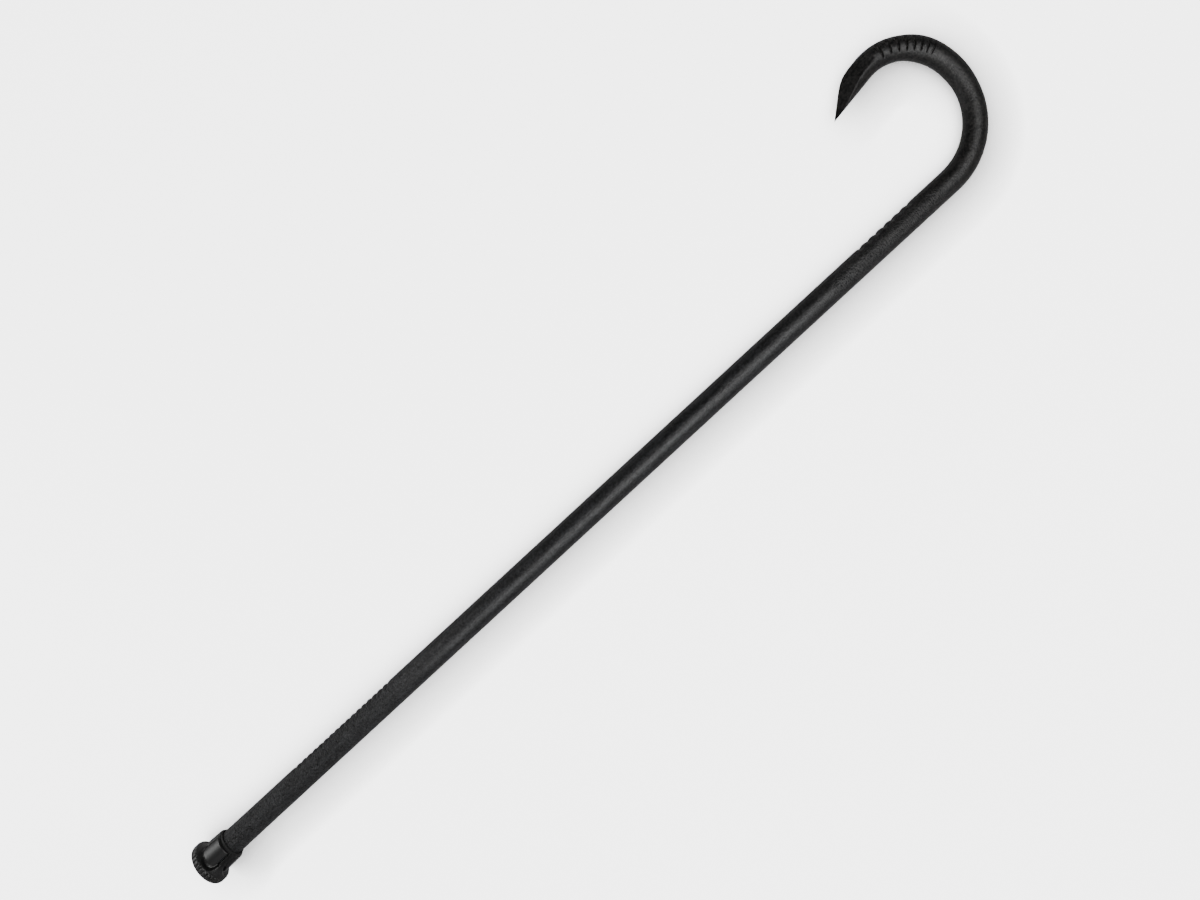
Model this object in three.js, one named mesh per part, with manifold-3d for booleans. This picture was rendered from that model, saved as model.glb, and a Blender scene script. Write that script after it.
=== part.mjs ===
// A moulded crook-handled walking cane, lying on its side.
// +X runs along the shaft from the foot to the handle, the crook curls to +Y, and +Z is up.
// The origin is the middle of the tread, on the shaft's axis. Lengths are in millimetres.
import * as THREE from "three";
import { mergeVertices } from "three/addons/utils/BufferGeometryUtils.js";
import Module from "manifold-3d";

const wasm = await Module();
wasm.setup();

// Driving sizes of the whole cane
const overallLength = 965; // tread to the outer side of the crook, along the shaft
const shaftRadius = 11.1; // a 7/8 inch shaft
const bendRadius = 69; // centreline radius from the shaft to the back of the crook
const bendTurn = 106; // degrees
const crownRadius = 50.6; // centreline radius over the crown
const crownTurn = 82.2; // degrees
const fitGap = 0.3; // clearance between pieces that touch on the real cane
const edgeChamfer = 0.4; // at the shaft's foot end
const cutOverrun = 2; // how far a cutter runs past the surface that it cuts

// The crook's tube: shares of the way along the crook, and of the shaft's radius there
const tubeShares = [
  { place: 0.0, radius: 1.0 },
  { place: 0.34, radius: 0.975 },
  { place: 0.45, radius: 1.03 },
  { place: 0.56, radius: 1.075 },
  { place: 0.66, radius: 0.99 },
  { place: 0.8, radius: 0.92 },
  { place: 1.0, radius: 0.92 },
];

// The beak: a straight end cut to a point by two flat bevels that meet in an outer edge
const beak = {
  length: 51.5, // from the end of the crown to the point, along the inner edge
  pointTurn: 33.6, // degrees between the inner edge and the outer edge
  bevelTilt: 29, // degrees between each bevel and the plane of the crook
};

// Grip grooves over the crown, on both faces, closer together towards the back of the crook
const grip = {
  count: 8,
  firstAngle: 77.3, // degrees round the crown's centre
  firstStep: 9.4, // degrees
  lastStep: 5.8, // degrees
  width: 2.6,
  depth: 1.5,
  inwardShare: 0.15, // of the tube's radius, how far a groove passes the crest of the crook's face
};

// Scalloped rows along the shaft, on the side that the crook curls to
const lowerRow = { clear: 81, pitch: 6.4, count: 18, depth: 0.6, width: 2.4 }; // clear of the ferrule
const upperRow = { clear: 42.5, pitch: 9.4, count: 7, depth: 0.8, width: 3.4 }; // clear of the crook

// The stiffening rod in its blind bore
const core = {
  radius: 4,
  recess: 1, // how far its lower end lies inside the shaft
  endMargin: 15, // from its upper end to the start of the crook
  chamfer: 0.6,
};

// The rubber ferrule: heights are above the tread, walls are outside the socket
const ferrule = {
  height: 30,
  treadThickness: 7,
  flangeWall: 7.8,
  flangeHeight: 5.8,
  edgeRounding: 1.2,
  shoulderHeight: 12.4,
  neckRootWall: 2.2,
  rimWall: 1.3,
  rimCollar: 2.4, // plain band between the rim and the pads
  padCount: 3,
  padFirstAngle: 21.5, // degrees from +Z towards +Y
  padTurn: 76, // degrees
  padRise: 0.8,
  padEnd: 6.6, // height of the pads' rounded lower ends
  pocketGap: 1.3, // crevice round a pad's lower end
  pocketWall: 0.8, // wall left under the crevice
  ribTurn: 7, // degrees from a pad's side to the fine rib beside it
  ribWidth: 0.9,
  ribRise: 0.6,
  knurlCount: 30,
  knurlDepth: 0.7,
  knurlWidth: 1.8,
  treadRings: 3,
  treadGroove: 1.2,
  treadGrooveWidth: 1.6,
};

// The steel disc that keeps the shaft's end from cutting through the rubber
const washer = {
  thickness: 1.5,
  play: 0.5, // between its rim and the shaft's outer side
  rodLip: 0.8, // how far it reaches in under the rod
};

// Facets
const shaftSides = 32;
const crookSteps = 72;
const ferruleSides = 64;
const smallSides = 28;

// Radii and heights of the fit between the shaft, the rod, the washer and the ferrule
const socketRadius = shaftRadius + fitGap;
const flangeRadius = socketRadius + ferrule.flangeWall;
const neckRootRadius = socketRadius + ferrule.neckRootWall;
const rimRadius = socketRadius + ferrule.rimWall;
const washerStart = ferrule.treadThickness + fitGap;
const shaftEnd = washerStart + washer.thickness + fitGap;
const coreStart = shaftEnd + core.recess;
const bendStart = overallLength - shaftRadius - bendRadius;
const coreLength = bendStart - core.endMargin - coreStart;

const degrees = THREE.MathUtils.degToRad;

// The centreline of the crook: two arcs and the straight beak
const bendCentre = new THREE.Vector2(bendStart, bendRadius);
const headingAfterBend = degrees(bendTurn);
const crownCentre = new THREE.Vector2(
  bendCentre.x + (bendRadius - crownRadius) * Math.sin(headingAfterBend),
  bendCentre.y - (bendRadius - crownRadius) * Math.cos(headingAfterBend),
);
const beakHeading = degrees(bendTurn + crownTurn);
const beakForward = new THREE.Vector2(Math.cos(beakHeading), Math.sin(beakHeading));
const beakInward = new THREE.Vector2(-beakForward.y, beakForward.x);
const crownEnd = new THREE.Vector2(
  crownCentre.x + crownRadius * Math.sin(beakHeading),
  crownCentre.y - crownRadius * Math.cos(beakHeading),
);
const beakRadius = shaftRadius * tubeShares[tubeShares.length - 1].radius;
const beakPoint = crownEnd
  .clone()
  .addScaledVector(beakForward, beak.length)
  .addScaledVector(beakInward, beakRadius);

/** A solid from a geometry, with its shared vertices merged. */
function solid(geometry) {
  const bare = geometry.clone();
  bare.deleteAttribute("normal");
  bare.deleteAttribute("uv");
  const merged = mergeVertices(bare);
  const mesh = new wasm.Mesh({
    numProp: 3,
    vertProperties: Float32Array.from(merged.attributes.position.array),
    triVerts: Uint32Array.from(merged.index.array),
  });
  return new wasm.Manifold(mesh);
}

/** A geometry from a solid. */
function geometryOf(manifold) {
  const mesh = manifold.getMesh();
  const geometry = new THREE.BufferGeometry();
  geometry.setAttribute("position", new THREE.BufferAttribute(Float32Array.from(mesh.vertProperties), 3));
  geometry.setIndex(new THREE.BufferAttribute(Uint32Array.from(mesh.triVerts), 1));
  geometry.computeVertexNormals();
  return geometry;
}

/** All the solids of a list as one. */
function joined(solids) {
  return solids.reduce((whole, next) => whole.add(next));
}

/** A solid turned round +X from an outline of [height, radius] points. */
function turned(outline, sides) {
  const points = outline.map(([height, radius]) => new THREE.Vector2(radius, height));
  const geometry = new THREE.LatheGeometry(points, sides);
  geometry.rotateZ(-Math.PI / 2);
  return solid(geometry);
}

/** A plain round bar along +X with chamfered ends. */
function roundBar(start, length, radius, chamfer, sides) {
  const outline = [
    [start, 0],
    [start, radius - chamfer],
    [start + chamfer, radius],
    [start + length - chamfer, radius],
    [start + length, radius - chamfer],
    [start + length, 0],
  ];
  return turned(outline, sides);
}

/** A triangular bar along +Z through (x, y), its cutting edge pointing to -Y. */
function notchBar(x, y, width, depth, length) {
  const shape = new THREE.Shape([
    new THREE.Vector2(0, -depth),
    new THREE.Vector2(width / 2, depth),
    new THREE.Vector2(-width / 2, depth),
  ]);
  const geometry = new THREE.ExtrudeGeometry(shape, { depth: length, bevelEnabled: false });
  geometry.translate(x, y, -length / 2);
  return geometry;
}

/** An arc of the crook's plane as a curve in space. */
class PlaneArc extends THREE.Curve {
  constructor(centre, radius, fromHeading, toHeading) {
    super();
    this.centre = centre;
    this.radius = radius;
    this.fromHeading = fromHeading;
    this.toHeading = toHeading;
  }

  getPoint(share, target = new THREE.Vector3()) {
    const heading = THREE.MathUtils.lerp(this.fromHeading, this.toHeading, share);
    const x = this.centre.x + this.radius * Math.sin(heading);
    const y = this.centre.y - this.radius * Math.cos(heading);
    return target.set(x, y, 0);
  }
}

/** The crook's centreline, with a straight lead-in that lies inside the shaft. */
function crookPath() {
  const lift = (point) => new THREE.Vector3(point.x, point.y, 0);
  const leadIn = new THREE.Vector3(bendStart - cutOverrun, 0, 0);
  const end = crownEnd.clone().addScaledVector(beakForward, beak.length + cutOverrun);
  const path = new THREE.CurvePath();
  path.add(new THREE.LineCurve3(leadIn, new THREE.Vector3(bendStart, 0, 0)));
  path.add(new PlaneArc(bendCentre, bendRadius, 0, headingAfterBend));
  path.add(new PlaneArc(crownCentre, crownRadius, headingAfterBend, beakHeading));
  path.add(new THREE.LineCurve3(lift(crownEnd), lift(end)));
  return path;
}

/** The tube's radius share at a place along the crook, eased between the listed ones. */
function tubeShareAt(place) {
  const last = tubeShares.length - 1;
  const after = Math.max(1, tubeShares.findIndex((entry) => entry.place >= place));
  const next = tubeShares[Math.min(after, last)];
  const previous = tubeShares[Math.min(after, last) - 1];
  const ease = THREE.MathUtils.smoothstep(place, previous.place, next.place);
  return THREE.MathUtils.lerp(previous.radius, next.radius, ease);
}

/** The round section of the crook's tube. */
function tubeSection() {
  const corners = [];
  for (let side = 0; side < shaftSides; side += 1) {
    const turn = (2 * Math.PI * side) / shaftSides;
    corners.push(new THREE.Vector2(shaftRadius * Math.cos(turn), shaftRadius * Math.sin(turn)));
  }
  return new THREE.Shape(corners);
}

/** The crook as a tube along its path, swelled and tapered by the shares. */
function crookTube() {
  const path = crookPath();
  const options = { steps: crookSteps, extrudePath: path, bevelEnabled: false };
  const geometry = new THREE.ExtrudeGeometry(tubeSection(), options);
  const centres = path.getSpacedPoints(crookSteps);
  const position = geometry.attributes.position;
  const point = new THREE.Vector3();
  for (let index = 0; index < position.count; index += 1) {
    point.fromBufferAttribute(position, index);
    const distances = centres.map((centre) => centre.distanceToSquared(point));
    const nearest = distances.indexOf(Math.min(...distances));
    const share = tubeShareAt(nearest / crookSteps);
    point.sub(centres[nearest]).multiplyScalar(share).add(centres[nearest]);
    position.setXYZ(index, point.x, point.y, point.z);
  }
  return solid(geometry);
}

/** The block beyond one bevel of the beak: its lower face is the bevel's plane. */
function bevelBlock(side) {
  const size = 2 * (beak.length + crownRadius);
  const block = new THREE.BoxGeometry(size, size, size);
  block.translate(0, 0, size / 2);
  const outerHeading = beakHeading + degrees(beak.pointTurn);
  const along = new THREE.Vector3(Math.cos(outerHeading), Math.sin(outerHeading), 0);
  const inward = new THREE.Vector3(-along.y, along.x, 0);
  const tilt = degrees(beak.bevelTilt);
  const faceOut = inward.clone().multiplyScalar(-Math.sin(tilt));
  faceOut.z = side * Math.cos(tilt);
  const across = new THREE.Vector3().crossVectors(faceOut, along);
  const placement = new THREE.Matrix4().makeBasis(along, across, faceOut);
  placement.setPosition(beakPoint.x, beakPoint.y, 0);
  return solid(block.applyMatrix4(placement));
}

/** The angles of the grip grooves round the crown's centre, in degrees. */
function gripAngles() {
  const angles = [grip.firstAngle];
  for (let index = 1; index < grip.count; index += 1) {
    const share = (index - 1) / (grip.count - 2);
    const step = THREE.MathUtils.lerp(grip.firstStep, grip.lastStep, share);
    angles.push(angles[index - 1] - step);
  }
  return angles;
}

/** The cutters of the grip grooves, on both faces of the crook. */
function gripCutters() {
  const cutters = [];
  const outer = crownRadius + shaftRadius + cutOverrun;
  const inner = crownRadius - shaftRadius * grip.inwardShare;
  const middle = (outer + inner) / 2;
  for (const angle of gripAngles()) {
    for (const side of [-1, 1]) {
      const bar = notchBar(0, 0, grip.width, grip.depth, outer - inner);
      bar.rotateX(Math.PI / 2);
      if (side < 0) bar.rotateY(Math.PI);
      bar.rotateZ(-Math.PI / 2 + degrees(angle));
      const x = crownCentre.x + middle * Math.cos(degrees(angle));
      const y = crownCentre.y + middle * Math.sin(degrees(angle));
      bar.translate(x, y, side * shaftRadius);
      cutters.push(solid(bar));
    }
  }
  return joined(cutters);
}

/** The cutters of one scalloped row, from its first nick. */
function rowCutters(row, start) {
  const cutters = [];
  for (let index = 0; index < row.count; index += 1) {
    const x = start + row.pitch * index;
    cutters.push(solid(notchBar(x, shaftRadius, row.width, row.depth, 2 * shaftRadius)));
  }
  return joined(cutters);
}

/** The moulded body: shaft, crook and beak in one piece, with the rod's blind bore. */
function caneBody() {
  const shaft = roundBar(shaftEnd, bendStart - shaftEnd, shaftRadius, edgeChamfer, shaftSides);
  const boreEnd = coreStart + coreLength + fitGap;
  const boreOutline = [
    [shaftEnd - cutOverrun, 0],
    [shaftEnd - cutOverrun, core.radius + fitGap],
    [boreEnd, core.radius + fitGap],
    [boreEnd, 0],
  ];
  const upperStart = bendStart - upperRow.clear - upperRow.pitch * (upperRow.count - 1);
  return shaft
    .add(crookTube())
    .subtract(bevelBlock(1))
    .subtract(bevelBlock(-1))
    .subtract(gripCutters())
    .subtract(rowCutters(lowerRow, ferrule.height + lowerRow.clear))
    .subtract(rowCutters(upperRow, upperStart))
    .subtract(turned(boreOutline, smallSides));
}

/** A tapered plug as tall as the ferrule, straight beside the flange. */
function neckBlank(rootRadius, topRadius) {
  const outline = [
    [0, 0],
    [0, rootRadius],
    [ferrule.flangeHeight, rootRadius],
    [ferrule.height, topRadius],
    [ferrule.height, 0],
  ];
  return turned(outline, ferruleSides);
}

/** A U-shaped block over a pad, its round end towards the tread, grown by an amount all round. */
function padBlock(angle, growth) {
  const halfWidth = neckRootRadius * Math.sin(degrees(ferrule.padTurn / 2)) + growth;
  const roundMiddle = ferrule.padEnd - growth + halfWidth;
  const top = ferrule.height - ferrule.rimCollar;
  const shape = new THREE.Shape();
  shape.moveTo(top, -halfWidth);
  shape.lineTo(roundMiddle, -halfWidth);
  shape.absarc(roundMiddle, 0, halfWidth, -Math.PI / 2, Math.PI / 2, true);
  shape.lineTo(top, halfWidth);
  shape.closePath();
  const depth = flangeRadius + cutOverrun;
  const options = { depth, bevelEnabled: false, curveSegments: smallSides / 2 };
  const geometry = new THREE.ExtrudeGeometry(shape, options);
  geometry.rotateX(-degrees(angle));
  return solid(geometry);
}

/** A fine rib that runs up the neck beside a pad. */
function neckRib(angle) {
  const length = ferrule.height - ferrule.rimCollar - ferrule.flangeHeight;
  const radius = neckRootRadius + ferrule.ribRise;
  const rib = new THREE.BoxGeometry(length, ferrule.ribWidth, radius);
  rib.translate(ferrule.flangeHeight + length / 2, 0, radius / 2);
  rib.rotateX(-degrees(angle));
  return solid(rib);
}

/** The V-cut of one knurl in the flange's wall. */
function knurlCutter(angle) {
  const length = ferrule.flangeHeight + 2 * cutOverrun;
  const cutter = notchBar(0, 0, ferrule.knurlWidth, ferrule.knurlDepth, length);
  cutter.rotateX(Math.PI / 2);
  cutter.rotateZ(-Math.PI / 2);
  cutter.translate(ferrule.flangeHeight / 2, 0, flangeRadius);
  cutter.rotateX(-degrees(angle));
  return solid(cutter);
}

/** The outline of the foot below the neck: grooved tread, rounded flange and sloping shoulder. */
function footOutline() {
  const outline = [[0, 0]];
  const ringPitch = flangeRadius / (ferrule.treadRings + 1);
  for (let ring = 1; ring <= ferrule.treadRings; ring += 1) {
    const inner = ringPitch * ring - ferrule.treadGrooveWidth / 2;
    const outer = ringPitch * ring + ferrule.treadGrooveWidth / 2;
    outline.push([0, inner], [ferrule.treadGroove, inner]);
    outline.push([ferrule.treadGroove, outer], [0, outer]);
  }
  outline.push([0, flangeRadius - ferrule.edgeRounding]);
  outline.push([ferrule.edgeRounding, flangeRadius]);
  outline.push([ferrule.flangeHeight - ferrule.edgeRounding, flangeRadius]);
  outline.push([ferrule.flangeHeight, flangeRadius - ferrule.edgeRounding / 2]);
  outline.push([ferrule.shoulderHeight, neckRootRadius]);
  outline.push([ferrule.shoulderHeight, 0]);
  return outline;
}

/** The rubber foot: pads in their pockets, ribs between them, a knurled flange and the socket. */
function ferruleBody() {
  const neck = neckBlank(neckRootRadius, rimRadius);
  const padBlank = neckBlank(neckRootRadius + ferrule.padRise, rimRadius + ferrule.padRise);
  const pocketRadius = socketRadius + ferrule.pocketWall;
  const pocketFloor = neckBlank(pocketRadius, pocketRadius);
  const ribSpread = ferrule.padTurn / 2 + ferrule.ribTurn;
  let body = turned(footOutline(), ferruleSides).add(neck);
  for (let pad = 0; pad < ferrule.padCount; pad += 1) {
    const angle = ferrule.padFirstAngle + (360 * pad) / ferrule.padCount;
    body = body.subtract(padBlock(angle, ferrule.pocketGap).subtract(pocketFloor));
    body = body.add(padBlock(angle, 0).intersect(padBlank));
    body = body.add(neckRib(angle - ribSpread)).add(neckRib(angle + ribSpread));
  }
  for (let knurl = 0; knurl < ferrule.knurlCount; knurl += 1) {
    body = body.subtract(knurlCutter((360 * knurl) / ferrule.knurlCount));
  }
  const socketOutline = [
    [ferrule.treadThickness, 0],
    [ferrule.treadThickness, socketRadius],
    [ferrule.height + cutOverrun, socketRadius],
    [ferrule.height + cutOverrun, 0],
  ];
  return body.subtract(turned(socketOutline, ferruleSides));
}

/** The steel disc at the bottom of the ferrule's socket. */
function washerBody() {
  const end = washerStart + washer.thickness;
  const rim = shaftRadius - washer.play;
  const hole = core.radius - washer.rodLip;
  const outline = [
    [washerStart, hole],
    [washerStart, rim],
    [end, rim],
    [end, hole],
    [washerStart, hole],
  ];
  return turned(outline, smallSides);
}

/** The stiffening rod. */
function coreRod() {
  return roundBar(coreStart, coreLength, core.radius, core.chamfer, smallSides);
}

const finishes = {
  polymer: { color: 0x1b1c1e, roughness: 0.5, metalness: 0 },
  rubber: { color: 0x141515, roughness: 0.42, metalness: 0 },
  steel: { color: 0x8d9094, roughness: 0.35, metalness: 1 },
};

const cane = new THREE.Group();

function addPiece(name, body, finish) {
  const piece = new THREE.Mesh(geometryOf(body), new THREE.MeshStandardMaterial(finish));
  piece.name = name;
  cane.add(piece);
}

addPiece("cane_body", caneBody(), finishes.polymer);
addPiece("core_rod", coreRod(), finishes.steel);
addPiece("ferrule", ferruleBody(), finishes.rubber);
addPiece("ferrule_washer", washerBody(), finishes.steel);

export default cane;
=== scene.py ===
"""The look of a moulded walking cane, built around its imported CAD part.

The cane lies on its side on a pale floor. Its foot is at the origin, the shaft runs up +X, the
crook curls towards +Y and +Z faces the camera. All lengths are in metres.
"""

import logging
import math
from dataclasses import dataclass, field
from enum import Enum
from typing import Iterable, Optional, Sequence, Union

import bpy
from mathutils import Matrix, Vector


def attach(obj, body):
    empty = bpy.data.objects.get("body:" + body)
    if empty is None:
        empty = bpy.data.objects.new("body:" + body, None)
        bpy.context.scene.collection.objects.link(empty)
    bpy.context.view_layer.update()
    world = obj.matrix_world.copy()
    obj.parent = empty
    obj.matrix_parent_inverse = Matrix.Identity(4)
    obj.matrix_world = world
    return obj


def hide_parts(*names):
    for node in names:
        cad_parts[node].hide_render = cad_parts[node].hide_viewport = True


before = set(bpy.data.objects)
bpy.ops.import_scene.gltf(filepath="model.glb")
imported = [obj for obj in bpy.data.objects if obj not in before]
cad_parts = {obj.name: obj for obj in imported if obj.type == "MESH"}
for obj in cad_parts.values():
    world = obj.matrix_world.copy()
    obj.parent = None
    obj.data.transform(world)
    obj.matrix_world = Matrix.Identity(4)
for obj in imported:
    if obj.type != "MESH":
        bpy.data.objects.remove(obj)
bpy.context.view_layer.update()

LOG = logging.getLogger("walking_cane")
MM = 0.001
LAID_OUT = ("along", "around", "bore", "height", "radius", "skin")
PAD_SHARE = "pad"
Number = Union[float, "Field"]
Colour = tuple[float, float, float]
Place = tuple[float, float, float]


class Body(Enum):
    """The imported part's two bodies."""

    CANE = "cane"
    FOOT = "foot"


class Slot(Enum):
    """The names of the three material slots."""

    POLYMER = "polymer"
    RUBBER = "rubber"
    STEEL = "steel"


class Field:
    """A number that varies over a surface, written as plain sums and kept as maths nodes."""

    def __init__(self, tree: bpy.types.NodeTree, socket: bpy.types.NodeSocket) -> None:
        """Keeps the tree and the socket that gives the number.

        Args:
            tree: the node tree that the number lives in.
            socket: the output socket that gives it.
        """
        self.tree = tree
        self.socket = socket

    def maths(self, operation: str, *others: Number) -> "Field":
        """Adds one maths node that starts from this number.

        Args:
            operation: the node's operation, such as "ADD".
            others: the second and third numbers.

        Returns:
            The result as a new field.
        """
        return maths(self.tree, operation, self, *others)

    def __add__(self, other: Number) -> "Field":
        """This number plus another."""
        return self.maths("ADD", other)

    def __radd__(self, other: float) -> "Field":
        """A plain number plus this one."""
        return self.maths("ADD", other)

    def __sub__(self, other: Number) -> "Field":
        """This number less another."""
        return self.maths("SUBTRACT", other)

    def __rsub__(self, other: float) -> "Field":
        """A plain number less this one."""
        return maths(self.tree, "SUBTRACT", other, self)

    def __mul__(self, other: Number) -> "Field":
        """This number times another."""
        return self.maths("MULTIPLY", other)

    def __truediv__(self, other: Number) -> "Field":
        """This number over another."""
        return self.maths("DIVIDE", other)

    def __rtruediv__(self, other: float) -> "Field":
        """A plain number over this one."""
        return maths(self.tree, "DIVIDE", other, self)

    def size(self) -> "Field":
        """The number without its sign."""
        return self.maths("ABSOLUTE")

    def sign(self) -> "Field":
        """Minus one, nought or one."""
        return self.maths("SIGN")

    def sine(self) -> "Field":
        """The sine of an angle in radians."""
        return self.maths("SINE")

    def cosine(self) -> "Field":
        """The cosine of an angle in radians."""
        return self.maths("COSINE")

    def root(self) -> "Field":
        """The square root, with anything below nought taken as nought."""
        return self.maths("MAXIMUM", 0.0).maths("SQRT")

    def most(self, other: Number) -> "Field":
        """The larger of this number and another."""
        return self.maths("MAXIMUM", other)

    def least(self, other: Number) -> "Field":
        """The smaller of this number and another."""
        return self.maths("MINIMUM", other)

    def least_rounded(self, other: Number, over: float) -> "Field":
        """The smaller of two numbers, with the corner between them rounded."""
        return self.maths("SMOOTH_MIN", other, over)

    def most_rounded(self, other: Number, over: float) -> "Field":
        """The larger of two numbers, with the corner between them rounded."""
        return self.maths("SMOOTH_MAX", other, over)

    def wrapped(self, high: float, low: float) -> "Field":
        """The number brought into a range by whole turns of it."""
        return self.maths("WRAP", high, low)

    def nearest_whole(self) -> "Field":
        """The nearest whole number."""
        return self.maths("ROUND")

    def eased(self, start: Number, end: Number) -> "Field":
        """Nought before start, one after end, with a smooth rise between them.

        Args:
            start: where the rise begins.
            end: where it ends; below start for a fall.

        Returns:
            The share of the rise.
        """
        node = self.tree.nodes.new("ShaderNodeMapRange")
        node.interpolation_type = "SMOOTHSTEP"
        for name, value in (("Value", self), ("From Min", start), ("From Max", end)):
            feed(self.tree, node.inputs[name], value)
        return Field(self.tree, node.outputs["Result"])

    def within(self, first: float, last: float, fade: float) -> "Field":
        """One between two places, fading to nought beyond them.

        Args:
            first: where the full share starts.
            last: where it ends.
            fade: the length of each fade.

        Returns:
            The share.
        """
        return self.eased(first - fade, first) * self.eased(last + fade, last)


def feed(tree: bpy.types.NodeTree, socket: bpy.types.NodeSocket, value: Number) -> None:
    """Gives a node's input a number or a field.

    Args:
        tree: the node tree.
        socket: the input.
        value: what goes into it.
    """
    if isinstance(value, Field):
        tree.links.new(value.socket, socket)
    else:
        socket.default_value = value


def maths(tree: bpy.types.NodeTree, operation: str, *values: Number) -> Field:
    """Adds one maths node.

    Args:
        tree: the node tree.
        operation: the node's operation.
        values: its numbers in order.

    Returns:
        The result.
    """
    node = tree.nodes.new("ShaderNodeMath")
    node.operation = operation
    for socket, value in zip(node.inputs, values):
        feed(tree, socket, value)
    return Field(tree, node.outputs[0])


def weighed(parts: Sequence[Field], shares: Sequence[float]) -> Field:
    """Adds up some numbers, each times its share.

    Args:
        parts: the numbers.
        shares: the share of each, in the same order.

    Returns:
        The sum.
    """
    total = parts[0] * shares[0]
    for part, share in zip(parts[1:], shares[1:]):
        total = total + part * share
    return total


class Shaper:
    """A Geometry Nodes tree that moves a laid-out sheet into its shape."""

    def __init__(self, name: str, sizes: dict[str, float]) -> None:
        """Makes the tree, with one named input for each size.

        Args:
            name: the tree's name.
            sizes: each input's name and value, in metres, radians or counts.
        """
        self.tree = bpy.data.node_groups.new(name, "GeometryNodeTree")
        face = self.tree.interface
        face.new_socket("Geometry", in_out="INPUT", socket_type="NodeSocketGeometry")
        face.new_socket("Geometry", in_out="OUTPUT", socket_type="NodeSocketGeometry")
        self.sizes = sizes
        for size_name, value in sizes.items():
            socket = face.new_socket(size_name, in_out="INPUT", socket_type="NodeSocketFloat")
            socket.default_value = value
        self.entry = self.tree.nodes.new("NodeGroupInput")
        self.exit = self.tree.nodes.new("NodeGroupOutput")
        self.geometry = self.entry.outputs["Geometry"]

    def size(self, name: str) -> Field:
        """The named input as a field."""
        return Field(self.tree, self.entry.outputs[name])

    def stored(self, name: str) -> Field:
        """A number stored on the sheet's points, by its name."""
        node = self.tree.nodes.new("GeometryNodeInputNamedAttribute")
        node.data_type = "FLOAT"
        node.inputs["Name"].default_value = name
        return Field(self.tree, node.outputs["Attribute"])

    def store(self, name: str, value: Field) -> None:
        """Stores a number on the points, for the finish to read.

        Args:
            name: the name that it is stored under.
            value: the number.
        """
        node = self.tree.nodes.new("GeometryNodeStoreNamedAttribute")
        node.data_type = "FLOAT"
        node.domain = "POINT"
        node.inputs["Name"].default_value = name
        self.tree.links.new(self.geometry, node.inputs["Geometry"])
        self.tree.links.new(value.socket, node.inputs["Value"])
        self.geometry = node.outputs["Geometry"]

    def close(self, x: Field, y: Field, z: Field, finish: bpy.types.Material) -> None:
        """Sets every point's place, smooths the shading and gives the finish.

        Args:
            x: the places along X.
            y: the places along Y.
            z: the places along Z.
            finish: the material of the whole piece.
        """
        nodes, links = self.tree.nodes, self.tree.links
        place = nodes.new("ShaderNodeCombineXYZ")
        for socket, value in zip(place.inputs, (x, y, z)):
            links.new(value.socket, socket)
        move = nodes.new("GeometryNodeSetPosition")
        links.new(self.geometry, move.inputs["Geometry"])
        links.new(place.outputs[0], move.inputs["Position"])
        last = move.outputs["Geometry"]
        for kind in ("SetShadeSmooth", "RealizeInstances", "SetMaterial"):
            node = nodes.new("GeometryNode" + kind)
            links.new(last, node.inputs["Geometry"])
            last = node.outputs["Geometry"]
        node.inputs["Material"].default_value = finish
        links.new(last, self.exit.inputs["Geometry"])

    def bake(self, sheet: bpy.types.Object, finish: bpy.types.Material) -> bpy.types.Object:
        """Runs the tree on a sheet and keeps the result as a plain mesh.

        Args:
            sheet: the laid-out sheet.
            finish: the material that the finished mesh carries.

        Returns:
            The same object with its finished mesh and no modifier.
        """
        modifier = sheet.modifiers.new("shape", "NODES")
        modifier.node_group = self.tree
        for item in self.tree.interface.items_tree:
            if item.in_out == "INPUT" and item.name in self.sizes:
                modifier[item.identifier] = float(self.sizes[item.name])
        bpy.context.view_layer.update()
        graph = bpy.context.evaluated_depsgraph_get()
        flat = sheet.data
        mesh = bpy.data.meshes.new_from_object(sheet.evaluated_get(graph))
        sheet.modifiers.clear()
        sheet.data = mesh
        bpy.data.meshes.remove(flat)
        mesh.name = sheet.name
        mesh.materials.clear()
        mesh.materials.append(finish)
        for name in LAID_OUT:
            if name in mesh.attributes:
                mesh.attributes.remove(mesh.attributes[name])
        return sheet


@dataclass
class Ring:
    """One ring of points on a sheet, or a pole, with the numbers that all its points carry."""

    numbers: dict[str, float]
    pole: bool = False


def lay_sheet(name: str, rings: list[Ring], sides: int, turn: float) -> bpy.types.Object:
    """Lays out rings of points joined by faces, with their numbers stored on the points.

    Args:
        name: the object's name.
        rings: the rings in order, from one pole to the other, or round and back for a ring shape.
        sides: the points on a full ring.
        turn: the angle that a ring covers, a whole turn, or minus one for the other way round.

    Returns:
        The sheet as an object at the origin.
    """
    stored: dict[str, list[float]] = {key: [] for key in rings[0].numbers}
    stored["around"] = []
    starts: list[int] = []
    count = 0
    for ring in rings:
        starts.append(count)
        points = 1 if ring.pole else sides
        for i in range(points):
            for key, value in ring.numbers.items():
                stored[key].append(value)
            stored["around"].append(turn * i / sides)
        count += points
    faces: list[tuple[int, ...]] = []
    for a, b, first, second in zip(rings, rings[1:], starts, starts[1:]):
        for i in range(sides):
            j = (i + 1) % sides
            if a.pole:
                faces.append((first, second + j, second + i))
            elif b.pole:
                faces.append((first + i, first + j, second))
            else:
                faces.append((first + i, first + j, second + j, second + i))
    mesh = bpy.data.meshes.new(name)
    mesh.from_pydata([(0.0, 0.0, 0.0)] * count, [], faces)
    for key, values in stored.items():
        mesh.attributes.new(key, "FLOAT", "POINT").data.foreach_set("value", values)
    mesh.update()
    return into_scene(name, mesh)


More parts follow.
